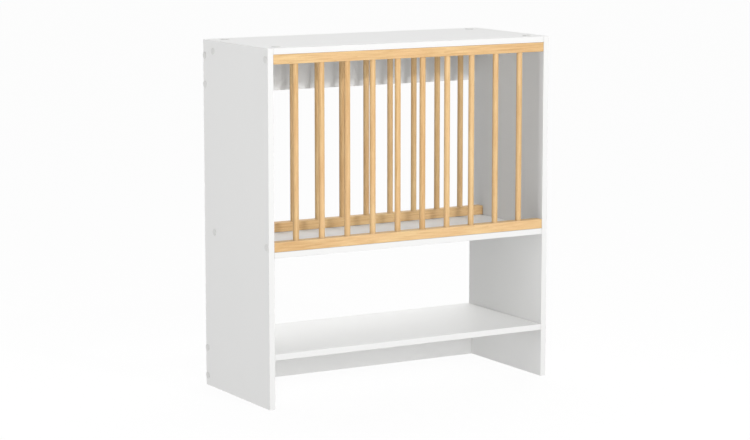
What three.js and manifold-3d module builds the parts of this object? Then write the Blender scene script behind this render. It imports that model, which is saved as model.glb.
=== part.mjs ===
// A plate rack: a white board carcass with an open shelf below, and above it two frames of
// wooden dowels, one at the front and one at the rear, that keep plates standing on edge.
// Sizes are in millimetres. X runs to the right, Y to the back and Z up.
// The origin lies on the ground under the middle of the rack.

import * as THREE from 'three';
import { mergeVertices } from 'three/addons/utils/BufferGeometryUtils.js';
import Module from 'manifold-3d';

// Carcass
const width = 650;
const depth = 280;
const height = 710;
const boardThickness = 12;
const backRailHeight = 98;
const shelfBayHeight = 190;

// Dowel frames
const woodRailHeight = 19;
const woodRailDepth = 20;
const rearFrameToBackRail = 22;
const dowelDiameter = 12;
const dowelsPerFrame = 10;
const dowelEndMargin = 53;
const dowelSocketDepth = 12;
const dowelChamfer = 1;

// Screws through the side panels, each under a round cover cap
const screwLength = 50;
const screwDiameter = 5;
const screwTipLength = 5;
const screwHeadDiameter = 9.5;
const screwHeadDepth = 2.6;
const screwEdgeInset = 20;
const screwCapDiameter = 14;

// Cam locks and cam bolts that hold the top panel and the two shelves
const camDiameter = 15;
const camHeight = 9;
const camInset = 22;
const camEdgeInset = 30;
const camBoltDiameter = 5;
const camBoltDepthInPanel = 8.5;
const camSlotLength = 9;
const camSlotWidth = 1.6;
const camSlotDepth = 1.8;
const camCapDiameter = 18;
const camCapStemDiameter = 6;

// Cover caps
const capThickness = 1;
const capBevel = 0.5;

// Clearances
const jointGap = 0.3;
const socketClearance = 0.2;
const socketEndGap = 0.4;
const boreClearance = 0.3;
const camClearance = 0.25;
const camRecess = 0.4;
const capSeatGap = 0.2;
const cutOverrun = 2;
const weldDistance = 1e-4;

// How finely round pieces are faceted
const roundSides = 16;
const boltSides = 12;

// Heights and depths worked out from the sizes above
const innerWidth = width - 2 * boardThickness;
const boardLength = innerWidth - 2 * jointGap;
const frontY = -depth / 2;
const backY = depth / 2;
const topPanelUnderside = height - boardThickness;
const lowerShelfUnderside = backRailHeight + jointGap;
const lowerShelfTop = lowerShelfUnderside + boardThickness;
const middleShelfUnderside = lowerShelfTop + shelfBayHeight;
const middleShelfTop = middleShelfUnderside + boardThickness;
const bottomWoodRailLow = middleShelfTop + jointGap;
const bottomWoodRailTop = bottomWoodRailLow + woodRailHeight;
const topWoodRailTop = topPanelUnderside - jointGap;
const topWoodRailLow = topWoodRailTop - woodRailHeight;
const topBackRailTop = topPanelUnderside - jointGap;
const topBackRailLow = topBackRailTop - backRailHeight;
const backRailFrontY = backY - boardThickness;
const rearFrameY = backRailFrontY - rearFrameToBackRail - woodRailDepth;

const frames = [
	{ name: 'front', frontY: frontY },
	{ name: 'rear', frontY: rearFrameY },
];
const sides = [
	{ name: 'left', sign: -1 },
	{ name: 'right', sign: 1 },
];

// Finishes
function whiteBoard() {
	return new THREE.MeshStandardMaterial({ color: 0xf3f3f1, roughness: 0.45, metalness: 0 });
}

function paleWood() {
	return new THREE.MeshStandardMaterial({ color: 0xe3bd86, roughness: 0.6, metalness: 0 });
}

function capWhite() {
	return new THREE.MeshStandardMaterial({ color: 0xe2e2df, roughness: 0.5, metalness: 0 });
}

function zinc() {
	return new THREE.MeshStandardMaterial({ color: 0xb4b7ba, roughness: 0.35, metalness: 1 });
}

const wasm = await Module();
wasm.setup();

// A closed geometry as a solid that can be cut and joined.
function toSolid(geometry) {
	const bare = geometry.index ? geometry.toNonIndexed() : geometry.clone();
	bare.deleteAttribute('normal');
	bare.deleteAttribute('uv');
	const merged = mergeVertices(bare, weldDistance);
	return new wasm.Manifold(new wasm.Mesh({
		numProp: 3,
		vertProperties: merged.attributes.position.array,
		triVerts: new Uint32Array(merged.index.array),
	}));
}

function toGeometry(solid) {
	const mesh = solid.getMesh();
	const geometry = new THREE.BufferGeometry();
	geometry.setAttribute('position', new THREE.BufferAttribute(mesh.vertProperties, mesh.numProp));
	geometry.setIndex(new THREE.BufferAttribute(mesh.triVerts, 1));
	const flat = geometry.toNonIndexed();
	flat.computeVertexNormals();
	return flat;
}

function cut(geometry, cutters) {
	let solid = toSolid(geometry);
	for (const cutter of cutters) {
		solid = solid.subtract(toSolid(cutter));
	}
	return toGeometry(solid);
}

function join(geometries) {
	let solid = toSolid(geometries[0]);
	for (const geometry of geometries.slice(1)) {
		solid = solid.add(toSolid(geometry));
	}
	return toGeometry(solid);
}

// A round piece turned from a profile of [radius, height] points, standing on the Z axis.
function turned(profile, segments) {
	const points = profile.map(([radius, z]) => new THREE.Vector2(radius, z));
	return new THREE.LatheGeometry(points, segments).rotateX(Math.PI / 2);
}

// A cylinder along Z between two heights.
function rod(diameter, low, high, segments) {
	const geometry = new THREE.CylinderGeometry(diameter / 2, diameter / 2, high - low, segments);
	return geometry.rotateX(Math.PI / 2).translate(0, 0, (low + high) / 2);
}

// Turns a piece that stands on Z so that its upper end points out through a side panel.
function facingOut(geometry, side) {
	return geometry.rotateY(side.sign * Math.PI / 2);
}

const rack = new THREE.Group();

function place(name, geometry, material, x, y, z, parent = rack) {
	const mesh = new THREE.Mesh(geometry, material);
	mesh.name = name;
	mesh.position.set(x, y, z);
	parent.add(mesh);
	return mesh;
}

// A straight board or rail between two corners, with bores cut into it.
// The corners and the bores are given in the rack's own frame.
function placeBoard(name, low, high, bores, material) {
	const size = high.clone().sub(low);
	const centre = low.clone().add(high).multiplyScalar(0.5);
	const blank = new THREE.BoxGeometry(size.x, size.y, size.z);
	const moved = bores.map((bore) => bore.clone().translate(-centre.x, -centre.y, -centre.z));
	place(name, cut(blank, moved), material, centre.x, centre.y, centre.z);
}

// Screws: one for each end of a wooden rail and two for each end of a back rail

const screwPlaces = [];
for (const frame of frames) {
	const y = frame.frontY + woodRailDepth / 2;
	screwPlaces.push({
		name: frame.name + '_top_rail',
		rail: frame.name + '_top_rail',
		y: y,
		z: (topWoodRailLow + topWoodRailTop) / 2,
	});
	screwPlaces.push({
		name: frame.name + '_bottom_rail',
		rail: frame.name + '_bottom_rail',
		y: y,
		z: (bottomWoodRailLow + bottomWoodRailTop) / 2,
	});
}
// The caps over the back rails reach just to the back edge of the side panel.
const backScrewY = backY - Math.max(screwCapDiameter, boardThickness) / 2;
const backRails = [
	{ name: 'top_back_rail', low: topBackRailLow, high: topBackRailTop },
	{ name: 'lower_back_rail', low: 0, high: backRailHeight },
];
for (const rail of backRails) {
	screwPlaces.push({
		name: rail.name + '_upper',
		rail: rail.name,
		y: backScrewY,
		z: rail.high - screwEdgeInset,
	});
	screwPlaces.push({
		name: rail.name + '_lower',
		rail: rail.name,
		y: backScrewY,
		z: rail.low + screwEdgeInset,
	});
}

// The screw's hole, countersunk at the outer face of the side panel.
function screwBore(screw, side) {
	const holeRadius = screwDiameter / 2 + boreClearance;
	const sinkRadius = screwHeadDiameter / 2 + boreClearance;
	const bottom = -screwLength - boreClearance;
	const bore = turned([
		[0, bottom],
		[holeRadius, bottom],
		[holeRadius, -screwHeadDepth],
		[sinkRadius, 0],
		[sinkRadius, cutOverrun],
		[0, cutOverrun],
	], roundSides);
	return facingOut(bore, side).translate(side.sign * width / 2, screw.y, screw.z);
}

// A countersunk screw with its press-on cap, whose stem fills the head's recess.
function cappedScrew() {
	const shankRadius = screwDiameter / 2;
	const capRadius = screwCapDiameter / 2;
	return turned([
		[0, -screwLength],
		[shankRadius, -screwLength + screwTipLength],
		[shankRadius, -screwHeadDepth],
		[screwHeadDiameter / 2, capSeatGap],
		[capRadius, capSeatGap],
		[capRadius, capSeatGap + capThickness - capBevel],
		[capRadius - capBevel, capSeatGap + capThickness],
		[0, capSeatGap + capThickness],
	], roundSides);
}

function boresInto(railName) {
	const own = screwPlaces.filter((screw) => screw.rail === railName);
	return sides.flatMap((side) => own.map((screw) => screwBore(screw, side)));
}

// Cam fittings: four hold each board that lies between the side panels

const camPlaces = [
	{ name: 'front', y: frontY + camEdgeInset },
	{ name: 'rear', y: backY - camEdgeInset },
];
// Each board's openFace is the height of the face that the cams are let into,
// and up is 1 where they are turned from above and -1 from below.
const camBoards = [
	{ name: 'top_panel', low: topPanelUnderside, openFace: height, up: 1 },
	{ name: 'middle_shelf', low: middleShelfUnderside, openFace: middleShelfUnderside, up: -1 },
	{ name: 'lower_shelf', low: lowerShelfUnderside, openFace: lowerShelfUnderside, up: -1 },
];
const camX = innerWidth / 2 - camInset;
const camBoltEndX = innerWidth / 2 + camBoltDepthInPanel;

// The bolt's hole runs from the cam's pocket through the board's end into the side panel.
function camBoltBore(board, camPlace, side) {
	const bore = rod(camBoltDiameter + 2 * boreClearance, 0, camBoltEndX - camX + boreClearance, boltSides);
	return facingOut(bore, side)
		.translate(side.sign * camX, camPlace.y, board.low + boardThickness / 2);
}

function camPocket(board, camPlace, side) {
	const pocketDepth = camRecess + camHeight + camClearance;
	const pocket = rod(camDiameter + 2 * camClearance, -pocketDepth, cutOverrun, roundSides);
	pocket.rotateX(board.up > 0 ? 0 : Math.PI);
	return pocket.translate(side.sign * camX, camPlace.y, board.openFace);
}

function camBores(board) {
	return sides.flatMap((side) => camPlaces.flatMap((camPlace) => [
		camPocket(board, camPlace, side),
		camBoltBore(board, camPlace, side),
	]));
}

// A cam lock closed on the head of its bolt. Its open face is at z = 0 and it hangs below.
// On the top panel a cap plugs into it, and on the shelves its cross slot shows.
function camFitting(board, side) {
	const top = -camRecess;
	const bolt = facingOut(rod(camBoltDiameter, 0, camBoltEndX - camX, boltSides), side);
	bolt.translate(0, 0, -boardThickness / 2);
	const body = join([rod(camDiameter, top - camHeight, top, roundSides), bolt]);
	if (board.up > 0) {
		const stem = rod(camCapStemDiameter, top - camSlotDepth, capSeatGap + capBevel, roundSides);
		return join([body, stem, camCap()]);
	}
	const slot = new THREE.BoxGeometry(camSlotLength, camSlotWidth, 2 * camSlotDepth);
	const crossed = slot.clone().rotateZ(Math.PI / 2);
	return cut(body, [slot.translate(0, 0, top), crossed.translate(0, 0, top)]);
}

function camCap() {
	const radius = camCapDiameter / 2;
	return turned([
		[0, capSeatGap],
		[radius, capSeatGap],
		[radius, capSeatGap + capThickness - capBevel],
		[radius - capBevel, capSeatGap + capThickness],
		[0, capSeatGap + capThickness],
	], roundSides);
}

// Side panels

function placeSidePanel(side) {
	const outer = side.sign * width / 2;
	const inner = side.sign * innerWidth / 2;
	const low = new THREE.Vector3(Math.min(outer, inner), frontY, 0);
	const high = new THREE.Vector3(Math.max(outer, inner), backY, height);
	const bores = screwPlaces.map((screw) => screwBore(screw, side));
	for (const board of camBoards) {
		for (const camPlace of camPlaces) {
			bores.push(camBoltBore(board, camPlace, side));
		}
	}
	placeBoard('side_panel_' + side.name, low, high, bores, whiteBoard());
}

sides.forEach(placeSidePanel);

// Top panel and shelves

for (const board of camBoards) {
	const low = new THREE.Vector3(-boardLength / 2, frontY, board.low);
	const high = new THREE.Vector3(boardLength / 2, backY, board.low + boardThickness);
	placeBoard(board.name, low, high, camBores(board), whiteBoard());
}

// Back rails

for (const rail of backRails) {
	const low = new THREE.Vector3(-boardLength / 2, backRailFrontY, rail.low);
	const high = new THREE.Vector3(boardLength / 2, backY, rail.high);
	placeBoard(rail.name, low, high, boresInto(rail.name), whiteBoard());
}

// Wooden rails, drilled for the dowels

const dowelPitch = (innerWidth - 2 * dowelEndMargin) / (dowelsPerFrame - 1);
const dowelPlaces = Array.from({ length: dowelsPerFrame }, (_, index) => ({
	number: String(index + 1).padStart(2, '0'),
	x: -innerWidth / 2 + dowelEndMargin + index * dowelPitch,
}));

// The sockets of one rail. They open at the height of its inner face and go up or down from it.
function dowelSockets(frame, openFace, up) {
	const socketY = frame.frontY + woodRailDepth / 2;
	const ends = [openFace - up * cutOverrun, openFace + up * dowelSocketDepth];
	return dowelPlaces.map((dowel) => rod(
		dowelDiameter + 2 * socketClearance, Math.min(...ends), Math.max(...ends), roundSides,
	).translate(dowel.x, socketY, 0));
}

function placeWoodRail(name, frame, bottom, sockets) {
	const low = new THREE.Vector3(-boardLength / 2, frame.frontY, bottom);
	const high = new THREE.Vector3(boardLength / 2, frame.frontY + woodRailDepth, bottom + woodRailHeight);
	placeBoard(name, low, high, [...boresInto(name), ...sockets], paleWood());
}

for (const frame of frames) {
	placeWoodRail(frame.name + '_top_rail', frame, topWoodRailLow, dowelSockets(frame, topWoodRailLow, 1));
	placeWoodRail(
		frame.name + '_bottom_rail', frame, bottomWoodRailLow, dowelSockets(frame, bottomWoodRailTop, -1),
	);
}

// Dowels

const dowelLow = bottomWoodRailTop - dowelSocketDepth + socketEndGap;
const dowelHigh = topWoodRailLow + dowelSocketDepth - socketEndGap;

function dowelShape() {
	const length = dowelHigh - dowelLow;
	const radius = dowelDiameter / 2;
	return turned([
		[0, 0],
		[radius - dowelChamfer, 0],
		[radius, dowelChamfer],
		[radius, length - dowelChamfer],
		[radius - dowelChamfer, length],
		[0, length],
	], roundSides);
}

for (const frame of frames) {
	for (const dowel of dowelPlaces) {
		const y = frame.frontY + woodRailDepth / 2;
		place(frame.name + '_dowel_' + dowel.number, dowelShape(), paleWood(), dowel.x, y, dowelLow);
	}
}

// Screws with their caps

for (const side of sides) {
	const outside = new THREE.Group();
	outside.position.x = side.sign * width / 2;
	rack.add(outside);
	for (const screw of screwPlaces) {
		const name = 'screw_' + side.name + '_' + screw.name;
		place(name, facingOut(cappedScrew(), side), capWhite(), 0, screw.y, screw.z, outside);
	}
}

// Cam fittings

for (const board of camBoards) {
	for (const side of sides) {
		for (const camPlace of camPlaces) {
			const name = 'cam_' + board.name + '_' + side.name + '_' + camPlace.name;
			const finish = board.up > 0 ? capWhite() : zinc();
			const fitting = place(name, camFitting(board, side), finish, side.sign * camX, camPlace.y, board.openFace);
			fitting.rotation.x = board.up > 0 ? 0 : Math.PI;
		}
	}
}

export default rack;
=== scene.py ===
"""Dresses a plate rack: a white board carcass with an open shelf below two frames of wooden dowels.

Lengths are in metres and angles in radians. X runs to the right, Y to the back and Z up, as in the frame.
"""

import math

import bpy
import numpy as np
from bpy.props import FloatProperty, FloatVectorProperty, IntProperty, PointerProperty
from bpy.types import Operator, Panel, PropertyGroup
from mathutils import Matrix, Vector


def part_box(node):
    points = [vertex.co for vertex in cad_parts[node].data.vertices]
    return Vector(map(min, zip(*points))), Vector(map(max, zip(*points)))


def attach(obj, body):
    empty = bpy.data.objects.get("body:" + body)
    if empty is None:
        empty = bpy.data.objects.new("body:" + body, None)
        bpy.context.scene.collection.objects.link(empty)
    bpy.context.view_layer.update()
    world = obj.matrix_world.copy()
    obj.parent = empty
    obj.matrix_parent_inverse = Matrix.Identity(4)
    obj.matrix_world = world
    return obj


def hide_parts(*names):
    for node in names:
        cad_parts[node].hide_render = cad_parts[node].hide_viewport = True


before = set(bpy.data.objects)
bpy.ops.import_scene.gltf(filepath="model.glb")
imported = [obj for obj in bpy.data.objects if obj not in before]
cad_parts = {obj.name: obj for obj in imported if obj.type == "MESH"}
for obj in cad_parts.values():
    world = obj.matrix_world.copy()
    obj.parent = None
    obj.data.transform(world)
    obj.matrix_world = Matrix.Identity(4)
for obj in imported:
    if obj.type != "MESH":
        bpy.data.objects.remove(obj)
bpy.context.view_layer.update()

bl_info = {
    "name": "Plate rack finishes",
    "version": (1, 0, 0),
    "blender": (4, 5, 0),
    "location": "View3D > Sidebar > Plate rack",
    "description": "Finishes, dowels, fastenings and a plain stage for a plate rack",
    "category": "Object",
}

MM = 0.001
BODY = "root"
BOARDS = (
    "side_panel_left", "side_panel_right", "top_panel", "middle_shelf", "lower_shelf",
    "top_back_rail", "lower_back_rail",
)
WOOD_RAILS = ("front_top_rail", "front_bottom_rail", "rear_top_rail", "rear_bottom_rail")
DOWELS = sorted(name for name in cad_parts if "_dowel_" in name)
SCREWS = sorted(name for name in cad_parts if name.startswith("screw_"))
CAMS = sorted(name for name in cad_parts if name.startswith("cam_"))

# Points closer than this are one point. Edges sharper than SHARP_ANGLE are shaded sharp.
MERGE_DISTANCE = 0.01 * MM
SHARP_ANGLE = math.radians(32)

# Edges of boards and rails sharper than this are rounded, in so many steps
ROUNDED_ANGLE = math.radians(50)
ROUNDING_STEPS = 2

# Sides that round plastic and metal pieces are drawn with, and steps along a rounded rim
ROUND_SIDES = 64
THREAD_SIDES = 24
RIM_STEPS = 6

# Turn to the right of the front and height of each light of the sky, in degrees
SKY_LIGHTS = {
    "sky_front_high": (0, 45), "sky_front_low": (0, -45), "sky_left_low": (-60, -45),
    "sky_right_high": (135, 45), "sky_right_low": (135, -45), "sky_back_high": (180, 45),
}

# Width and height, place and aim of each lamp
LAMPS = {
    "key": ((0.12, 0.12), (0.4, -2.9, 1.4), (0, 0, 0.4)),
    "box": ((1.2, 0.7), (-0.2, -2.9, 1.1), (-0.2, 0, 1.1)),
    "side": ((1.5, 1.2), (-3, -0.3, 0.8), (-0.3, 0, 0.4)),
}


def linear(red, green, blue):
    """The linear colour of a display colour from 0 to 255: ((c + 0.055) / 1.055) to the power 2.4."""
    shares = (np.array([red, green, blue]) / 255 + 0.055) / 1.055
    return tuple(float(share) for share in shares ** 2.4)


# Sizes and colours that a user would change

class RackBoardSettings(PropertyGroup):
    """Finish of the white boards."""

    colour: FloatVectorProperty(
        name="Board colour", description="White face of the boards", subtype="COLOR", size=3,
        default=linear(238, 238, 237))
    core_colour: FloatVectorProperty(
        name="Core colour", description="Raw board that shows inside a bore", subtype="COLOR", size=3,
        default=linear(176, 150, 118))
    edge_radius: FloatProperty(
        name="Edge radius", description="Rounding of the boards' edges", default=0.5 * MM, unit="LENGTH")
    band_thickness: FloatProperty(
        name="Edge band", description="Thickness of the band on the narrow edges", default=0.8 * MM,
        unit="LENGTH")
    seam_width: FloatProperty(
        name="Seam width", description="Width of the line between band and face", default=0.15 * MM,
        unit="LENGTH")
    roughness: FloatProperty(
        name="Roughness", description="Roughness of the white faces", default=0.42, min=0, max=1,
        subtype="FACTOR")


class RackWoodSettings(PropertyGroup):
    """Finish of the wooden rails and dowels."""

    light_colour: FloatVectorProperty(
        name="Light wood", description="Wood between the growth lines", subtype="COLOR", size=3,
        default=linear(240, 208, 156))
    warm_colour: FloatVectorProperty(
        name="Warm wood", description="Warmer tint of the light wood", subtype="COLOR", size=3,
        default=linear(238, 198, 148))
    dark_colour: FloatVectorProperty(
        name="Dark wood", description="Growth lines of the wood", subtype="COLOR", size=3,
        default=linear(202, 156, 102))
    pore_colour: FloatVectorProperty(
        name="Pores", description="Short dark pores of the wood", subtype="COLOR", size=3,
        default=linear(158, 112, 64))
    edge_radius: FloatProperty(
        name="Rail edge radius", description="Rounding of the rails' edges", default=0.7 * MM,
        unit="LENGTH")
    dowel_rounding: FloatProperty(
        name="Dowel end rounding", description="Rounding of the dowels' ends", default=1 * MM,
        unit="LENGTH")
    dowel_sides: IntProperty(
        name="Dowel sides", description="Sides that a dowel is drawn with", default=48, min=8)
    bounce_colour: FloatVectorProperty(
        name="Bounce colour", description="Plain grey that the wood reflects onto the boards",
        subtype="COLOR", size=3, default=linear(196, 196, 196))
    bounce_share: FloatProperty(
        name="Bounce share", description="How far that grey takes the place of the wood's colour there",
        default=0.9, min=0, max=1, subtype="FACTOR")


class RackFasteningSettings(PropertyGroup):
    """Shapes and finishes of the screws, cams and caps."""

    cap_colour: FloatVectorProperty(
        name="Cap colour", description="Plastic of the cover caps", subtype="COLOR", size=3,
        default=linear(224, 224, 222))
    steel_colour: FloatVectorProperty(
        name="Steel colour", description="Plated screws and bolts", subtype="COLOR", size=3,
        default=linear(190, 188, 182))
    zinc_colour: FloatVectorProperty(
        name="Zinc colour", description="Cast cam locks", subtype="COLOR", size=3,
        default=linear(176, 178, 180))
    cap_thickness: FloatProperty(
        name="Cap thickness", description="Height of a cap over its board", default=1 * MM, unit="LENGTH")
    cap_seat: FloatProperty(
        name="Cap seat", description="Gap between a cap and its board", default=0.2 * MM, unit="LENGTH")
    cap_rim: FloatProperty(
        name="Cap rim", description="Rounding of a cap's rim", default=0.4 * MM, unit="LENGTH")
    cap_dome: FloatProperty(
        name="Cap dome", description="Rise of a cap's face", default=0.05 * MM, unit="LENGTH")
    stem_radius: FloatProperty(
        name="Stem radius", description="Stem of a cap in the recess below it", default=1.4 * MM,
        unit="LENGTH")
    screw_radius: FloatProperty(
        name="Screw radius", description="Outer radius of the screw's thread", default=2.5 * MM,
        unit="LENGTH")
    screw_length: FloatProperty(
        name="Screw length", description="From head to tip", default=50 * MM, unit="LENGTH")
    screw_pitch: FloatProperty(
        name="Screw pitch", description="Climb of the screw's thread in one turn", default=3 * MM,
        unit="LENGTH")
    head_radius: FloatProperty(
        name="Head radius", description="Countersunk head of a screw", default=4.6 * MM, unit="LENGTH")
    head_depth: FloatProperty(
        name="Head depth", description="Height of the countersunk head", default=2.5 * MM, unit="LENGTH")
    cam_radius: FloatProperty(
        name="Cam radius", description="Radius of a cam lock", default=7.5 * MM, unit="LENGTH")
    cam_height: FloatProperty(
        name="Cam height", description="Height of a cam lock", default=9 * MM, unit="LENGTH")
    cam_recess: FloatProperty(
        name="Cam recess", description="How far a cam lies below its board's face", default=0.4 * MM,
        unit="LENGTH")
    slot_length: FloatProperty(
        name="Slot length", description="Length of the cross slot's arms, end to end", default=9 * MM,
        unit="LENGTH")
    slot_width: FloatProperty(
        name="Slot width", description="Width of the cross slot's arms", default=1.6 * MM, unit="LENGTH")
    slot_depth: FloatProperty(
        name="Slot depth", description="Depth of the cross slot", default=1.8 * MM, unit="LENGTH")
    bolt_radius: FloatProperty(
        name="Bolt radius", description="Radius of a cam bolt", default=2.5 * MM, unit="LENGTH")


class RackStageSettings(PropertyGroup):
    """Floor, light and camera."""

    floor_colour: FloatVectorProperty(
        name="Floor colour", description="Pale floor", subtype="COLOR", size=3,
        default=linear(250, 250, 250))
    floor_size: FloatProperty(
        name="Floor size", description="Side of the square floor", default=40, unit="LENGTH")
    floor_glow: FloatProperty(
        name="Floor glow", description="Share of plain white that the camera sees in the floor",
        default=0.92, min=0, max=1, subtype="FACTOR")
    sky_front_high: FloatProperty(
        name="Sky, front, high", description="Soft light from the front and above", default=0.6, min=0)
    sky_front_low: FloatProperty(
        name="Sky, front, low", description="Soft light from the front and below", default=0.9, min=0)
    sky_left_low: FloatProperty(
        name="Sky, left, low", description="Soft light from the left and below", default=0.8, min=0)
    sky_right_high: FloatProperty(
        name="Sky, right, high", description="Soft light from behind on the right, above", default=1.7,
        min=0)
    sky_right_low: FloatProperty(
        name="Sky, right, low", description="Soft light from behind on the right, below", default=3,
        min=0)
    sky_back_high: FloatProperty(
        name="Sky, back, high", description="Soft light from behind and above", default=0.85, min=0)
    sky_sharpness: FloatProperty(
        name="Sky sharpness", description="Power of the cosine by which each light of the sky falls off",
        default=4, min=0)
    key_strength: FloatProperty(
        name="Key lamp", description="Share of full light that the small lamp in front gives",
        default=0.25, min=0)
    box_strength: FloatProperty(
        name="Box lamp", description="Share of full light that the wide lamp in front gives",
        default=0.32, min=0)
    side_strength: FloatProperty(
        name="Side lamp", description="Share of full light that the wide lamp on the left gives",
        default=0.48, min=0)
    camera_place: FloatVectorProperty(
        name="Camera place", description="Where the camera stands", subtype="XYZ", unit="LENGTH", size=3,
        default=(-2.4963, -4.2882, 1.0823))
    camera_turn: FloatProperty(
        name="Camera turn", description="Turn of the view from the back towards the right",
        default=0.5262, subtype="ANGLE")
    camera_tilt: FloatProperty(
        name="Camera tilt", description="How far the camera looks down", default=0.1495, subtype="ANGLE")
    lens_share: FloatProperty(
        name="Lens share", description="Focal length as a share of the picture's width", default=3.2551)


# Meshes

def closed_surface(rings, first_pole, last_pole):
    """Points and faces of a closed surface that runs through rings of points, from one pole to another.

    rings holds (ring, side, xyz). Point j of a ring joins point j of the next ring and point j + 1 of its
    own. The first and last rings close on their poles.
    """
    count, sides = rings.shape[:2]
    number = np.arange(count * sides).reshape(count, sides)
    after = np.roll(number, -1, axis=1)
    quads = np.stack([number[:-1], after[:-1], after[1:], number[1:]], axis=-1).reshape(-1, 4)
    first = np.full(sides, count * sides)
    start = np.stack([first, after[0], number[0]], axis=-1)
    end = np.stack([first + 1, number[-1], after[-1]], axis=-1)
    points = np.concatenate([rings.reshape(-1, 3), [first_pole, last_pole]])
    return points, quads.tolist() + start.tolist() + end.tolist()


def spun(radii, heights, angles):
    """A closed surface round Z: at angle t, ring i lies at (r cos t, r sin t, h).

    r and h are given for each ring, and may also change with the angle. Both ends close on the axis.
    """
    radii = np.broadcast_to(np.array(radii, float).reshape(len(radii), -1), (len(radii), len(angles)))
    heights = np.broadcast_to(np.array(heights, float).reshape(len(heights), -1), radii.shape)
    rings = np.stack([radii * np.cos(angles), radii * np.sin(angles), heights], axis=-1)
    return closed_surface(rings, (0, 0, heights[0].mean()), (0, 0, heights[-1].mean()))


def even_angles(sides):
    """Angles spaced evenly round a full turn."""
    return np.linspace(0, 2 * np.pi, sides, endpoint=False)


def quarter_round(radius, low, high, rounding, steps):
    """Radii and heights of a straight rod with rounded ends.

    The lower end follows a quarter circle of angle a: r = radius - rounding (1 - sin a) and
    h = low + rounding (1 - cos a). The upper end mirrors it.
    """
    turn = np.linspace(0, np.pi / 2, steps)
    radii = radius - rounding * (1 - np.sin(turn))
    rise = rounding * (1 - np.cos(turn))
    return np.concatenate([radii, radii[::-1]]), np.concatenate([low + rise, (high - rise)[::-1]])


def facing(points, direction):
    """Turns a piece that stands on Z so that its upper end points up, down, left or right."""
    x, y, z = np.asarray(points, float).T
    turned = {"up": (x, y, z), "down": (x, -y, -z), "left": (-z, y, x), "right": (z, y, -x)}
    return np.stack(turned[direction], axis=-1)


def add_piece(name, surface, place, direction, finish, stands_for=()):
    """Adds a finished piece: its mesh is turned and put in place, and it rides on the rack."""
    points, faces = surface
    mesh = bpy.data.meshes.new(name)
    mesh.from_pydata((facing(points, direction) + np.array(place)).tolist(), [], faces)
    mesh.shade_smooth()
    mesh.set_sharp_from_angle(angle=SHARP_ANGLE)
    mesh.materials.append(finish)
    piece = bpy.data.objects.new(name, mesh)
    bpy.context.scene.collection.objects.link(piece)
    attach(piece, BODY)
    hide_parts(*stands_for)
    return piece


def soften_edges(piece, radius):
    """Rounds the sharp edges of a CAD node with live modifiers."""
    weld = piece.modifiers.new("Weld", "WELD")
    weld.merge_threshold = MERGE_DISTANCE
    bevel = piece.modifiers.new("Bevel", "BEVEL")
    bevel.width = radius
    bevel.segments = ROUNDING_STEPS
    bevel.limit_method = "ANGLE"
    bevel.angle_limit = ROUNDED_ANGLE


def give_finish(node, finish):
    """Gives a CAD node one material."""
    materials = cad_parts[node].data.materials
    materials.clear()
    materials.append(finish)


# Shader nodes

# The part of a noise's values, from 0 to 1, that is spread over a mask
NOISE_RANGE = (0.3, 0.7)
STREAK_RANGE = (0.33, 0.67)
HUE_RANGE = (0.35, 0.65)
PORE_RANGE = (0.62, 0.76)

# The wood's noises: scale along the grain as a share of the scale across it, scale, detail, roughness
# and distortion
WOOD_NOISES = {
    "figure": (0.04, 120, 2, 0.5, 0.3), "streaks": (0.05, 330, 3, 0.6, 0),
    "fibres": (0.03, 1300, 4, 0.65, 0), "pores": (0.07, 2100, 2, 0.5, 0),
    "stock": (0.12, 19, 1, 0.5, 0), "hue": (0.3, 31, 2, 0.5, 0),
}

# A growth line darkens as this power of the way across it
GROWTH_POWER = 2

# How far each mask takes the wood towards its dark colour, its warm tint or its pores' colour
GROWTH_SHADE = 0.26
STREAK_SHADE = 0.4
FIBRE_SHADE = 0.26
STOCK_SHADE = 0.2
MOST_WARMTH = 0.7
PORE_SHADE = 0.5

# Roughness between the fibres and on them, and the height of fibres and growth lines as shares of a pore's
WOOD_ROUGHNESS = (0.46, 0.6)
FIBRE_RISE = 0.4
GROWTH_DIP = 0.3

# How strongly a finish mirrors, as the shader's specular level
BOARD_SPECULAR = 0.45
WOOD_SPECULAR = 0.35

# How fine the texture and the clouds of a surface are, and how far its roughness and its tone vary
BOARD_SURFACE = {"Texture Scale": 1400, "Cloud Scale": 7, "Spread": 0.12, "Shade": 0.03}
PLAIN_SURFACE = {"Cloud Scale": 60, "Spread": 0.15, "Shade": 0.05}
FLOOR_SURFACE = {"Texture Scale": 300, "Cloud Scale": 1, "Roughness": 0.5, "Spread": 0, "Shade": 0.01}

# Roughness of each plain finish, and how fine and how high its texture is
CAP_FINISH = {"roughness": 0.45, "texture_scale": 1800, "relief": 0.02 * MM}
STEEL_FINISH = {"roughness": 0.32, "texture_scale": 1800, "relief": 0.01 * MM, "metallic": 1}
ZINC_FINISH = {"roughness": 0.38, "texture_scale": 900, "relief": 0.04 * MM, "metallic": 1}


def add(tree, kind, inputs=None, **settings):
    """Adds a node. Each input is linked where a socket is given, and set where a value is given."""
    made = tree.nodes.new(kind)
    for name, value in settings.items():
        setattr(made, name, value)
    for name, value in (inputs or {}).items():
        if isinstance(value, bpy.types.NodeSocket):
            tree.links.new(value, made.inputs[name])
        else:
            made.inputs[name].default_value = value
    return made


def calculate(tree, operation, *values, clamp=False):
    """The output of a Math node."""
    inputs = dict(enumerate(values))
    return add(tree, "ShaderNodeMath", inputs, operation=operation, use_clamp=clamp).outputs[0]


def vector_sum(tree, operation, *values):
    """The vector that a Vector Math node puts out."""
    return add(tree, "ShaderNodeVectorMath", dict(enumerate(values)), operation=operation).outputs[0]


def stretched(tree, vector, scale):
    """A vector scaled along each axis."""
    return vector_sum(tree, "MULTIPLY", vector, scale)


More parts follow.
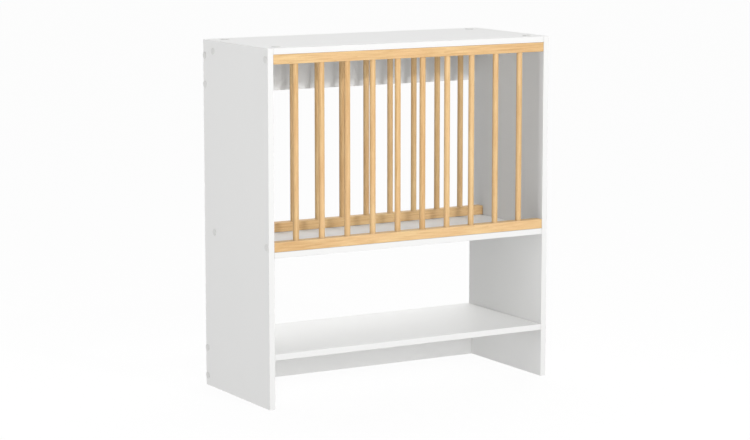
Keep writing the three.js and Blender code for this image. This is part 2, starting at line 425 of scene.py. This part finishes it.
def noise(tree, vector, scale, detail=2, roughness=0.5, distortion=0):
    """The value of a Noise texture."""
    inputs = {
        "Vector": vector, "Scale": scale, "Detail": detail, "Roughness": roughness,
        "Distortion": distortion,
    }
    return add(tree, "ShaderNodeTexNoise", inputs).outputs[0]


def spread(tree, value, low, high, to_low=0, to_high=1, smooth=False):
    """Maps a value from one range to another."""
    inputs = {"Value": value, "From Min": low, "From Max": high, "To Min": to_low, "To Max": to_high}
    kind = "SMOOTHSTEP" if smooth else "LINEAR"
    return add(tree, "ShaderNodeMapRange", inputs, interpolation_type=kind).outputs[0]


def blend_colours(tree, factor, first, second, blend_type="MIX"):
    """Mixes two colours, each a socket or three numbers.

    A Mix node's sockets 0, 6 and 7 are its factor and its two colours, and output 2 is their mix.
    """
    mix = tree.nodes.new("ShaderNodeMix")
    mix.data_type = "RGBA"
    mix.blend_type = blend_type
    for socket, value in ((mix.inputs[0], factor), (mix.inputs[6], first), (mix.inputs[7], second)):
        if isinstance(value, bpy.types.NodeSocket):
            tree.links.new(value, socket)
        else:
            socket.default_value = value if socket == mix.inputs[0] else (*value, 1)
    return mix.outputs[2]


def new_group(name, inputs, outputs):
    """An empty shader node group with named sockets, given as (name, kind, default)."""
    group = bpy.data.node_groups.new(name, "ShaderNodeTree")
    for socket_name, kind, default in inputs:
        socket = group.interface.new_socket(socket_name, in_out="INPUT", socket_type="NodeSocket" + kind)
        socket.default_value = default
    for socket_name, kind in outputs:
        group.interface.new_socket(socket_name, in_out="OUTPUT", socket_type="NodeSocket" + kind)
    return group, group.nodes.new("NodeGroupInput").outputs, group.nodes.new("NodeGroupOutput").inputs


def make_edge_group():
    """Masks that follow the edges of a board or rail, worked out from its lowest and highest corners.

    The distance to the nearest pair of faces is known along each axis. The least of the three says how
    deep a point lies, and the middle one how far it is from the nearest edge of its face.
    """
    wear_scale, wear_detail = 220, 4
    narrow_wear, wide_wear = 0.4, 1.4
    skin, core_start = 0.4 * MM, 0.8 * MM
    face_depth = 0.2 * MM
    group, given, result = new_group(
        "Edges of a board",
        [("Position", "Vector", (0, 0, 0)), ("Low", "Vector", (0, 0, 0)), ("High", "Vector", (1, 1, 1)),
         ("Thickness Axis", "Vector", (0, 0, 1)), ("Edge Width", "Float", 1 * MM),
         ("Band Thickness", "Float", 0.8 * MM), ("Seam Width", "Float", 0.15 * MM)],
        [("Edge", "Float"), ("Inside", "Float"), ("Seam", "Float")])
    from_low = vector_sum(group, "SUBTRACT", given["Position"], given["Low"])
    from_high = vector_sum(group, "SUBTRACT", given["High"], given["Position"])
    nearest = vector_sum(group, "MINIMUM", from_low, from_high)
    parts = add(group, "ShaderNodeSeparateXYZ", {0: nearest}).outputs
    least = calculate(group, "MINIMUM", calculate(group, "MINIMUM", parts[0], parts[1]), parts[2])
    most = calculate(group, "MAXIMUM", calculate(group, "MAXIMUM", parts[0], parts[1]), parts[2])
    total = calculate(group, "ADD", calculate(group, "ADD", parts[0], parts[1]), parts[2])
    middle = calculate(group, "SUBTRACT", calculate(group, "SUBTRACT", total, least), most)
    worn = noise(group, given["Position"], wear_scale, wear_detail)
    uneven = spread(group, worn, *NOISE_RANGE, narrow_wear, wide_wear)
    reach = calculate(group, "MULTIPLY", given["Edge Width"], uneven)
    edge = calculate(group, "SUBTRACT", 1, calculate(group, "DIVIDE", middle, reach), clamp=True)
    group.links.new(edge, result["Edge"])
    group.links.new(spread(group, least, skin, core_start), result["Inside"])
    under_face = add(group, "ShaderNodeVectorMath", {0: nearest, 1: given["Thickness Axis"]},
                     operation="DOT_PRODUCT").outputs["Value"]
    on_face = calculate(group, "LESS_THAN", under_face, face_depth)
    off_seam = calculate(group, "ABSOLUTE",
                         calculate(group, "SUBTRACT", middle, given["Band Thickness"]))
    line = calculate(group, "SUBTRACT", 1, calculate(group, "DIVIDE", off_seam, given["Seam Width"]),
                     clamp=True)
    group.links.new(calculate(group, "MULTIPLY", line, on_face), result["Seam"])


def make_surface_group():
    """Fine unevenness of a smooth surface: a close texture over broad, faint clouds."""
    texture_detail, texture_roughness = 3, 0.6
    cloud_detail, cloud_roughness = 4, 0.55
    mean = 0.5
    group, given, result = new_group(
        "Fine surface",
        [("Position", "Vector", (0, 0, 0)), ("Texture Scale", "Float", 1500), ("Cloud Scale", "Float", 9),
         ("Roughness", "Float", 0.4), ("Spread", "Float", 0.1), ("Shade", "Float", 0.02)],
        [("Tone", "Float"), ("Roughness", "Float"), ("Height", "Float")])
    place = given["Position"]
    texture = noise(group, place, given["Texture Scale"], texture_detail, texture_roughness)
    clouds = noise(group, place, given["Cloud Scale"], cloud_detail, cloud_roughness)
    centred = calculate(group, "SUBTRACT", clouds, mean)
    tone = calculate(group, "MULTIPLY_ADD", centred, given["Shade"], 1)
    both = calculate(group, "ADD", centred, calculate(group, "SUBTRACT", texture, mean))
    group.links.new(tone, result["Tone"])
    group.links.new(calculate(group, "MULTIPLY_ADD", both, given["Spread"], given["Roughness"]),
                    result["Roughness"])
    group.links.new(texture, result["Height"])


def make_wood_group():
    """Straight-grained wood whose grain runs along Z: growth lines, fibres and short pores.

    A growth line darkens slowly and ends sharply, so it is the remainder of a slow noise times the number
    of lines. Each piece gets a depth and a warmth of its own from noises that change over its width only.
    """
    group, given, result = new_group(
        "Straight grain",
        [("Position", "Vector", (0, 0, 0)), ("Light", "Color", (1, 1, 1, 1)),
         ("Dark", "Color", (0, 0, 0, 1)), ("Warm", "Color", (1, 1, 1, 1)),
         ("Pore", "Color", (0, 0, 0, 1)), ("Growth Lines", "Float", 7)],
        [("Color", "Color"), ("Roughness", "Float"), ("Height", "Float")])
    values = {}
    for name, (along, scale, detail, roughness, distortion) in WOOD_NOISES.items():
        place = stretched(group, given["Position"], (1, 1, along))
        values[name] = noise(group, place, scale, detail, roughness, distortion)
    lines = calculate(group, "FRACT", calculate(group, "MULTIPLY", values["figure"], given["Growth Lines"]))
    growth = calculate(group, "POWER", lines, GROWTH_POWER)
    broad = spread(group, values["streaks"], *STREAK_RANGE)
    fine = spread(group, values["fibres"], *NOISE_RANGE)
    depth = spread(group, values["stock"], *NOISE_RANGE, -STOCK_SHADE, STOCK_SHADE)
    for share, mask in ((GROWTH_SHADE, growth), (STREAK_SHADE, broad), (FIBRE_SHADE, fine)):
        depth = calculate(group, "MULTIPLY_ADD", mask, share, depth)
    warmth = spread(group, values["hue"], *HUE_RANGE, 0, MOST_WARMTH)
    pale = blend_colours(group, warmth, given["Light"], given["Warm"])
    wood = blend_colours(group, calculate(group, "MAXIMUM", depth, 0, clamp=True), pale, given["Dark"])
    pore_mask = spread(group, values["pores"], *PORE_RANGE, 0, PORE_SHADE)
    group.links.new(blend_colours(group, pore_mask, wood, given["Pore"]), result["Color"])
    group.links.new(spread(group, fine, 0, 1, *WOOD_ROUGHNESS), result["Roughness"])
    raised = calculate(group, "MULTIPLY", fine, FIBRE_RISE)
    ridges = calculate(group, "MULTIPLY_ADD", growth, -GROWTH_DIP, raised)
    group.links.new(calculate(group, "SUBTRACT", ridges, pore_mask), result["Height"])


def place_group(tree, name, inputs):
    """Places a shader node group that is there already, and returns its outputs."""
    made = tree.nodes.new("ShaderNodeGroup")
    made.node_tree = bpy.data.node_groups[name]
    for socket_name, value in inputs.items():
        if isinstance(value, bpy.types.NodeSocket):
            tree.links.new(value, made.inputs[socket_name])
        else:
            made.inputs[socket_name].default_value = value
    return made.outputs


def new_finish(name, metallic=0, specular=0.5):
    """A material with a Principled shader and the object's own coordinates."""
    material = bpy.data.materials.new(name)
    material.use_nodes = True
    tree = material.node_tree
    shader = tree.nodes["Principled BSDF"]
    shader.inputs["Metallic"].default_value = metallic
    shader.inputs["Specular IOR Level"].default_value = specular
    return material, tree, shader.inputs, tree.nodes.new("ShaderNodeTexCoord").outputs["Object"]


def raise_surface(tree, shader, height, distance, strength=0.5):
    """Bends the shader's normal by a height from 0 to 1 that stands for a distance."""
    bump = add(tree, "ShaderNodeBump", {"Height": height, "Distance": distance, "Strength": strength})
    tree.links.new(bump.outputs[0], shader["Normal"])


def toned(tree, colour, tone):
    """A colour made lighter or darker by a factor near 1."""
    return vector_sum(tree, "MULTIPLY", colour, tone)


def board_finish(node, settings):
    """White faced board with banded edges. Inside a bore it shows its raw core."""
    core_scale, core_detail, core_shade, core_roughness = 900, 3, 0.6, 0.4
    seam_shade, seam_dip = 0.22, 1.5
    wear, wear_reach = 0.06, 1.5
    relief, relief_strength = 0.02 * MM, 0.35
    low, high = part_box(node)
    size = high - low
    thin = min(range(3), key=lambda axis: size[axis])
    material, tree, shader, place = new_finish("white_" + node, specular=BOARD_SPECULAR)
    edges = place_group(tree, "Edges of a board", {
        "Position": place, "Low": low, "High": high,
        "Thickness Axis": [float(axis == thin) for axis in range(3)],
        "Edge Width": wear_reach * settings.edge_radius, "Band Thickness": settings.band_thickness,
        "Seam Width": settings.seam_width,
    })
    surface = place_group(
        tree, "Fine surface", {"Position": place, "Roughness": settings.roughness, **BOARD_SURFACE})
    white = toned(tree, settings.colour, surface["Tone"])
    dimmed = calculate(tree, "MULTIPLY", edges["Seam"], seam_shade)
    seamed = blend_colours(tree, dimmed, white, settings.core_colour)
    core = blend_colours(tree, noise(tree, place, core_scale, core_detail), settings.core_colour,
                         [core_shade * share for share in settings.core_colour])
    worn = blend_colours(tree, calculate(tree, "MULTIPLY", edges["Edge"], wear), seamed,
                         settings.core_colour)
    tree.links.new(blend_colours(tree, edges["Inside"], worn, core), shader["Base Color"])
    rough = calculate(tree, "MULTIPLY_ADD", edges["Inside"], core_roughness, surface["Roughness"])
    tree.links.new(rough, shader["Roughness"])
    height = calculate(tree, "MULTIPLY_ADD", edges["Seam"], -seam_dip, surface["Height"])
    raise_surface(tree, shader, height, relief, relief_strength)
    return material


def wood_finish(name, settings, turn, corners=None):
    """Oiled wood. turn brings the piece's length onto Z, where the grain runs."""
    wear, wear_reach, relief = 0.3, 2, 0.05 * MM
    material, tree, shader, place = new_finish(name, specular=WOOD_SPECULAR)
    along = add(tree, "ShaderNodeMapping", {"Vector": place, "Rotation": turn}).outputs[0]
    grain = place_group(tree, "Straight grain", {
        "Position": along, "Light": (*settings.light_colour, 1), "Dark": (*settings.dark_colour, 1),
        "Warm": (*settings.warm_colour, 1), "Pore": (*settings.pore_colour, 1),
    })
    colour = grain["Color"]
    if corners:
        edges = place_group(tree, "Edges of a board", {
            "Position": place, "Low": corners[0], "High": corners[1],
            "Edge Width": wear_reach * settings.edge_radius,
        })
        colour = blend_colours(tree, calculate(tree, "MULTIPLY", edges["Edge"], wear), colour,
                               settings.light_colour)
    path = tree.nodes.new("ShaderNodeLightPath").outputs
    bounced = calculate(tree, "MULTIPLY", path["Is Diffuse Ray"], settings.bounce_share)
    colour = blend_colours(tree, bounced, colour, settings.bounce_colour)
    tree.links.new(colour, shader["Base Color"])
    tree.links.new(grain["Roughness"], shader["Roughness"])
    raise_surface(tree, shader, grain["Height"], relief)
    return material


def plain_finish(name, colour, roughness, texture_scale, relief, metallic=0):
    """Moulded plastic or cast metal with a close texture."""
    material, tree, shader, place = new_finish(name, metallic)
    surface = place_group(tree, "Fine surface", {
        "Position": place, "Texture Scale": texture_scale, "Roughness": roughness, **PLAIN_SURFACE,
    })
    tree.links.new(toned(tree, colour, surface["Tone"]), shader["Base Color"])
    tree.links.new(surface["Roughness"], shader["Roughness"])
    raise_surface(tree, shader, surface["Height"], relief)
    return material


# Pieces

# Outline of a cam bolt up to its thread: shares of its radius and of its length
BOLT_OUTLINE = (
    (0.5, 0), (0.92, 0.03), (1, 0.07), (0.92, 0.11), (0.55, 0.14), (0.55, 0.22), (0.8, 0.24),
    (0.8, 0.66), (1, 0.67), (1, 0.71),
)

# Where a cam bolt starts, as a share of the lock's radius from its middle
BOLT_START = 0.6


def dowel_surface(settings, node):
    """A dowel between the ends of its CAD node, a straight rod round Z with rounded ends."""
    lengths = 9
    low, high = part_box(node)
    radius = (high.x - low.x) / 2
    radii, heights = quarter_round(radius, low.z, high.z, settings.dowel_rounding, RIM_STEPS)
    middle = np.linspace(heights[RIM_STEPS - 1], heights[RIM_STEPS], lengths + 1)[1:-1]
    radii = np.concatenate([radii[:RIM_STEPS], np.full(len(middle), radius), radii[RIM_STEPS:]])
    heights = np.concatenate([heights[:RIM_STEPS], middle, heights[RIM_STEPS:]])
    return spun(radii, heights, even_angles(settings.dowel_sides))


def cap_surface(radius, settings):
    """A round cover cap over a board's face at height 0, with a stem below it.

    From the stem out, the seat is flat. The rim follows a quarter circle, and the face rises towards the
    middle as the dome height times 1 - (r / face radius) squared.
    """
    stem_tip, stem_tip_depth = 0.7, 1.6
    under_rim, under_rim_rise = 0.3, 0.2
    face_steps, last_ring = 8, 0.1
    seat, rim, stem = settings.cap_seat, settings.cap_rim, settings.stem_radius
    shoulder = seat + settings.cap_thickness - settings.cap_dome
    turn = np.linspace(0, np.pi / 2, RIM_STEPS)
    face = np.linspace(radius - rim, last_ring * radius, face_steps)
    dome = settings.cap_dome * (1 - (face / (radius - rim)) ** 2)
    radii = [stem_tip * stem, stem, stem, radius - under_rim * rim, radius]
    heights = [-stem_tip_depth * settings.cap_thickness, -settings.cap_thickness, seat, seat,
               seat + under_rim_rise * rim]
    radii = np.concatenate([radii, radius - rim * (1 - np.cos(turn)), face[1:]])
    heights = np.concatenate([heights, shoulder - rim * (1 - np.sin(turn)), shoulder + dome[1:]])
    return spun(radii, heights, even_angles(ROUND_SIDES))


def cross_outline(length, width, angles):
    """Distance from the middle of a cross to its outline: within an arm, the lesser of the way to the
    arm's end, (length / 2) / cos a, and to its side, (width / 2) / sin a, for a from the nearest arm.
    """
    quarter = np.pi / 2
    least_sine = 1e-6
    off_arm = np.abs((angles + quarter / 2) % quarter - quarter / 2)
    to_side = width / 2 / np.maximum(np.sin(off_arm), least_sine)
    return np.minimum(length / 2 / np.cos(off_arm), to_side)


def cross_angles(sides, length, width):
    """Even angles round a turn, with the corners of a cross among them. Equal ones are kept once."""
    decimals, arm_count = 6, 4
    corner = math.atan2(width, length)
    arms = even_angles(arm_count)
    corners = np.concatenate([arms - corner, arms + corner, arms + np.pi / 4]) % (2 * np.pi)
    return np.unique(np.round(np.concatenate([even_angles(sides), corners]), decimals))


def screw_surface(settings):
    """A countersunk wood screw with a cross recess, its head's face just below height 0.

    The thread's radius is the core plus the thread's depth times a ridge that follows
    height / pitch - angle / full turn. The ridge fades out under the head and the whole tapers at the tip.
    """
    rings, core_share, ridge_reach = 90, 0.68, 0.25
    bare_share, fade = 0.25, 2 * MM
    tip_length, tip_share = 5 * MM, 0.08
    arm_share, arm_width, recess_depth, recess_share = 0.55, 0.3, 1.6 * MM, 0.3
    under_share, under_depth, side_depth, face_share = 0.85, 0.6 * MM, 0.3 * MM, 0.97
    length, radius, head = settings.screw_length, settings.screw_radius, settings.head_radius
    top = -settings.cap_seat
    neck = top - settings.head_depth
    arm = arm_share * head
    angles = cross_angles(THREAD_SIDES, 2 * arm, arm_width * arm)
    heights = np.linspace(-length, neck, rings)[:, None]
    phase = (heights / settings.screw_pitch - angles / (2 * np.pi)) % 1
    ridge = np.clip(1 - np.abs(phase - 1 / 2) / ridge_reach, 0, 1)
    threaded = np.clip((neck - bare_share * length - heights) / fade, 0, 1)
    taper = np.clip((heights + length) / tip_length + tip_share, 0, 1)
    core = core_share * radius
    shank = (core + (radius - core) * ridge * threaded) * taper
    cross = cross_outline(2 * arm, arm_width * arm, angles)
    steps = [
        (under_share * head, top - under_depth), (head, top - side_depth), (face_share * head, top),
        (cross, top), (recess_share * cross, top - recess_depth),
    ]
    rings = [row for row in shank] + [np.broadcast_to(ring, angles.shape) for ring, _ in steps]
    levels = [np.full(len(angles), level) for level in heights[:, 0]]
    levels += [np.full(len(angles), level) for _, level in steps]
    return spun(np.array(rings), np.array(levels), angles)


def cam_surface(settings):
    """A cam lock, its open face at height 0: a drum with a raised rim round a face with a cross slot.

    Each ring is a circle, or the outline of the cross times a share, at a height of its own.
    """
    bevel, dish = 0.4 * MM, 0.25 * MM
    rim_width, rim_foot = 1.2 * MM, 1.4 * MM
    slot_mouth, slot_floor = 1.05, 0.92
    radius, height = settings.cam_radius, settings.cam_height
    angles = cross_angles(ROUND_SIDES, settings.slot_length, settings.slot_width)
    cross = cross_outline(settings.slot_length, settings.slot_width, angles)
    steps = [
        (radius - bevel, -height), (radius, bevel - height), (radius, -bevel), (radius - bevel, 0),
        (radius - rim_width, 0), (radius - rim_foot, -dish), (slot_mouth * cross, -dish),
        (cross, -2 * dish), (slot_floor * cross, -settings.slot_depth),
    ]
    radii = np.array([np.broadcast_to(ring, angles.shape) for ring, _ in steps])
    levels = np.array([np.full(len(angles), level) for _, level in steps])
    return spun(radii, levels, angles)


def bolt_surface(settings, length):
    """A cam bolt from height 0 to its length: a ball head, a waist, a collar and a threaded end.

    The thread's radius is the bolt's times 1 - depth + depth times |2 p - 1|, where p is the part of
    height / pitch - angle / full turn that is left over whole turns.
    """
    rings, thread_share, pitch, thread_depth = 30, 0.72, 1.2 * MM, 0.16
    end_length, end_share = 0.5 * MM, 0.7
    radius = settings.bolt_radius
    angles = even_angles(THREAD_SIDES)
    heights = np.linspace(thread_share * length, length - end_length, rings)[:, None]
    phase = (heights / pitch - angles / (2 * np.pi)) % 1
    thread = radius * (1 - thread_depth + thread_depth * np.abs(2 * phase - 1))
    radii = [np.full(len(angles), share * radius) for share, _ in BOLT_OUTLINE] + list(thread)
    levels = [np.full(len(angles), share * length) for _, share in BOLT_OUTLINE]
    levels += [np.full(len(angles), level) for level in heights[:, 0]]
    radii.append(np.full(len(angles), end_share * radius))
    levels.append(np.full(len(angles), length))
    return spun(np.array(radii), np.array(levels), angles)


def side_of(name):
    """The side that a fastening's name tells, with its sign along X."""
    return ("left", -1) if "_left" in name else ("right", 1)


# Operators

class RACK_OT_dress_boards(Operator):
    """Rounds the boards' edges and gives them their white finish"""

    bl_idname = "rack.dress_boards"
    bl_label = "Dress boards"

    def execute(self, context):
        settings = context.scene.rack_boards
        make_edge_group()
        make_surface_group()
        for node in BOARDS:
            soften_edges(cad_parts[node], settings.edge_radius)
            give_finish(node, board_finish(node, settings))
        return {"FINISHED"}


class RACK_OT_dress_wood_rails(Operator):
    """Rounds the wooden rails' edges and gives them a grain along their length"""

    bl_idname = "rack.dress_wood_rails"
    bl_label = "Dress wooden rails"

    def execute(self, context):
        settings = context.scene.rack_wood
        make_wood_group()
        for node in WOOD_RAILS:
            soften_edges(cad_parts[node], settings.edge_radius)
            give_finish(node, wood_finish("wood_" + node, settings, (0, math.pi / 2, 0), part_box(node)))
        return {"FINISHED"}


class RACK_OT_turn_dowels(Operator):
    """Makes the round dowels of both frames"""

    bl_idname = "rack.turn_dowels"
    bl_label = "Turn dowels"

    def execute(self, context):
        settings = context.scene.rack_wood
        finish = wood_finish("wood_dowels", settings, (0, 0, 0))
        for node in DOWELS:
            low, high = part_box(node)
            place = ((low.x + high.x) / 2, (low.y + high.y) / 2, 0)
            add_piece(node + "_round", dowel_surface(settings, node), place, "up", finish,
                      [node])
        return {"FINISHED"}


class RACK_OT_fit_screws(Operator):
    """Makes the screws through the side panels and the caps over them"""

    bl_idname = "rack.fit_screws"
    bl_label = "Fit screws and caps"

    def execute(self, context):
        settings = context.scene.rack_fastenings
        plastic = plain_finish("cap_plastic", settings.cap_colour, **CAP_FINISH)
        steel = plain_finish("plated_steel", settings.steel_colour, **STEEL_FINISH)
        for node in SCREWS:
            side, sign = side_of(node)
            low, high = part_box(node)
            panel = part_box("side_panel_" + side)
            face = panel[0].x if sign < 0 else panel[1].x
            place = (face, (low.y + high.y) / 2, (low.z + high.z) / 2)
            cap = cap_surface((high.y - low.y) / 2, settings)
            add_piece(node + "_cap", cap, place, side, plastic, [node])
            add_piece(node + "_shank", screw_surface(settings), place, side, steel)
        return {"FINISHED"}


class RACK_OT_fit_cams(Operator):
    """Makes the cam locks and bolts that hold the boards between the sides, and the caps on the top"""

    bl_idname = "rack.fit_cams"
    bl_label = "Fit cams and caps"

    def execute(self, context):
        settings = context.scene.rack_fastenings
        plastic = bpy.data.materials["cap_plastic"]
        steel = bpy.data.materials["plated_steel"]
        zinc = plain_finish("cast_zinc", settings.zinc_colour, **ZINC_FINISH)
        for node in CAMS:
            side, sign = side_of(node)
            board = node[len("cam_"):node.index("_" + side)]
            on_top = board == "top_panel"
            low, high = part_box(node)
            board_low, board_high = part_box(board)
            half = (high.y - low.y) / 2
            x = high.x - half if sign < 0 else low.x + half
            y = (low.y + high.y) / 2
            open_face = board_high.z if on_top else board_low.z
            inward = -1 if on_top else 1
            direction = "up" if on_top else "down"
            lock_place = (x, y, open_face + inward * settings.cam_recess)
            add_piece(node + "_lock", cam_surface(settings), lock_place, direction, zinc,
                      [node])
            start = x + sign * BOLT_START * settings.cam_radius
            reach = (low.x if sign < 0 else high.x) - start
            bolt_place = (start, y, (board_low.z + board_high.z) / 2)
            bolt = bolt_surface(settings, abs(reach))
            add_piece(node + "_bolt", bolt, bolt_place, side, steel)
            if on_top:
                add_piece(node + "_cap", cap_surface(half, settings), (x, y, open_face), "up", plastic)
        return {"FINISHED"}


class RACK_OT_set_stage(Operator):
    """Sets the floor, the light and the camera"""

    bl_idname = "rack.set_stage"
    bl_label = "Set stage"

    def execute(self, context):
        settings = context.scene.rack_stage
        make_floor(settings)
        make_world(context.scene, settings)
        make_lamps(context.scene, settings)
        make_camera(context.scene, settings)
        context.scene.view_settings.view_transform = "Standard"
        return {"FINISHED"}


def seen_directly(tree):
    """1 where the camera, a reflection or a clear material sees the surface, and 0 for other light."""
    path = tree.nodes.new("ShaderNodeLightPath").outputs
    either = calculate(tree, "MAXIMUM", path["Is Camera Ray"], path["Is Glossy Ray"])
    return calculate(tree, "MAXIMUM", either, path["Is Transmission Ray"])


def mix_shaders(tree, factor, first, second):
    """The output of a Mix Shader node."""
    return add(tree, "ShaderNodeMixShader", {0: factor, 1: first, 2: second}).outputs[0]


def make_floor(settings):
    """A pale floor, seen mixed with plain white so that the rack's shadow stays faint.

    It lets the light from below through to the rack.
    """
    half = settings.floor_size / 2
    mesh = bpy.data.meshes.new("floor")
    corners = [(-half, -half, 0), (half, -half, 0), (half, half, 0), (-half, half, 0)]
    mesh.from_pydata(corners, [], [(0, 1, 2, 3)])
    material = bpy.data.materials.new("pale_floor")
    material.use_nodes = True
    tree = material.node_tree
    tree.nodes.clear()
    place = tree.nodes.new("ShaderNodeTexCoord").outputs["Object"]
    surface = place_group(tree, "Fine surface", {"Position": place, **FLOOR_SURFACE})
    colour = toned(tree, settings.floor_colour, surface["Tone"])
    pale = add(tree, "ShaderNodeBsdfDiffuse", {"Color": colour})
    white = add(tree, "ShaderNodeEmission", {"Strength": 1})
    seen = mix_shaders(tree, settings.floor_glow, pale.outputs[0], white.outputs[0])
    clear = add(tree, "ShaderNodeBsdfTransparent")
    mixed = mix_shaders(tree, seen_directly(tree), clear.outputs[0], seen)
    add(tree, "ShaderNodeOutputMaterial", {"Surface": mixed})
    mesh.materials.append(material)
    floor = bpy.data.objects.new("floor", mesh)
    bpy.context.scene.collection.objects.link(floor)


def sky_light(tree, turn, height, sharpness, strength):
    """Light that comes mostly from one part of the sky: strength * max(0, cos(angle)) ** sharpness."""
    turn, height = math.radians(turn), math.radians(height)
    centre = (math.sin(turn) * math.cos(height), -math.cos(turn) * math.cos(height), math.sin(height))
    direction = tree.nodes.new("ShaderNodeTexCoord").outputs["Generated"]
    cosine = add(
        tree, "ShaderNodeVectorMath", {0: direction, 1: centre}, operation="DOT_PRODUCT").outputs["Value"]
    near = calculate(tree, "POWER", calculate(tree, "MAXIMUM", cosine, 0), sharpness)
    return calculate(tree, "MULTIPLY", near, strength)


def make_world(scene, settings):
    """Soft light from several sides, seen as plain white."""
    world = bpy.data.worlds.new("studio")
    world.use_nodes = True
    tree = world.node_tree
    tree.nodes.clear()
    strength = 0
    for name, place in SKY_LIGHTS.items():
        light = sky_light(tree, *place, settings.sky_sharpness, getattr(settings, name))
        strength = calculate(tree, "ADD", strength, light)
    light = add(tree, "ShaderNodeBackground", {"Strength": strength})
    white = add(tree, "ShaderNodeBackground", {"Strength": 1})
    for background in (light, white):
        background.inputs["Color"].default_value = (1, 1, 1, 1)
    mixed = mix_shaders(tree, seen_directly(tree), light.outputs[0], white.outputs[0])
    add(tree, "ShaderNodeOutputWorld", {"Surface": mixed})
    scene.world = world


def make_lamp(scene, name, size, place, aim, share):
    """A rectangular lamp. A share of 1 lights a faced surface at the point that it aims at fully."""
    lamp = bpy.data.lights.new(name, "AREA")
    lamp.shape = "RECTANGLE"
    lamp.size, lamp.size_y = size
    line = Vector(aim) - Vector(place)
    lamp.energy = share * math.pi ** 2 * line.length_squared
    item = bpy.data.objects.new(name, lamp)
    item.location = place
    item.rotation_euler = line.to_track_quat("-Z", "Y").to_euler()
    item.visible_camera = False
    item.visible_glossy = False
    scene.collection.objects.link(item)


def make_lamps(scene, settings):
    """A small lamp and a wide one in front of the rack, and a wide one on its left."""
    for name, (size, place, aim) in LAMPS.items():
        make_lamp(scene, name + "_lamp", size, place, aim, getattr(settings, name + "_strength"))


def make_camera(scene, settings):
    """A camera that looks towards the back, turned to the right and tilted down. It sees past the floor."""
    floors_seen = 5
    camera = bpy.data.cameras.new("camera")
    camera.lens = camera.sensor_width * settings.lens_share
    camera.clip_end = floors_seen * settings.floor_size
    view = bpy.data.objects.new("camera", camera)
    view.location = settings.camera_place
    view.rotation_euler = (math.pi / 2 - settings.camera_tilt, 0, -settings.camera_turn)
    scene.collection.objects.link(view)
    scene.camera = view


class RACK_PT_sidebar(Panel):
    """Lists the steps and the sizes and colours that they use"""

    bl_label = "Plate rack"
    bl_idname = "RACK_PT_sidebar"
    bl_space_type = "VIEW_3D"
    bl_region_type = "UI"
    bl_category = "Plate rack"

    def draw(self, context):
        for operator in OPERATORS:
            self.layout.operator(operator.bl_idname)
        for name, group in SETTINGS.items():
            box = self.layout.box()
            box.label(text=group.__doc__)
            for setting in group.__annotations__:
                box.prop(getattr(context.scene, name), setting)


OPERATORS = (
    RACK_OT_dress_boards, RACK_OT_dress_wood_rails, RACK_OT_turn_dowels, RACK_OT_fit_screws,
    RACK_OT_fit_cams, RACK_OT_set_stage,
)
SETTINGS = {
    "rack_boards": RackBoardSettings, "rack_wood": RackWoodSettings,
    "rack_fastenings": RackFasteningSettings, "rack_stage": RackStageSettings,
}


def register():
    for group in (*SETTINGS.values(), *OPERATORS, RACK_PT_sidebar):
        bpy.utils.register_class(group)
    for name, group in SETTINGS.items():
        setattr(bpy.types.Scene, name, PointerProperty(type=group))


def unregister():
    for name in SETTINGS:
        delattr(bpy.types.Scene, name)
    for group in (RACK_PT_sidebar, *reversed(OPERATORS), *SETTINGS.values()):
        bpy.utils.unregister_class(group)


def main():
    register()
    bpy.ops.rack.dress_boards()
    bpy.ops.rack.dress_wood_rails()
    bpy.ops.rack.turn_dowels()
    bpy.ops.rack.fit_screws()
    bpy.ops.rack.fit_cams()
    bpy.ops.rack.set_stage()


if __name__ == "__main__":
    main()
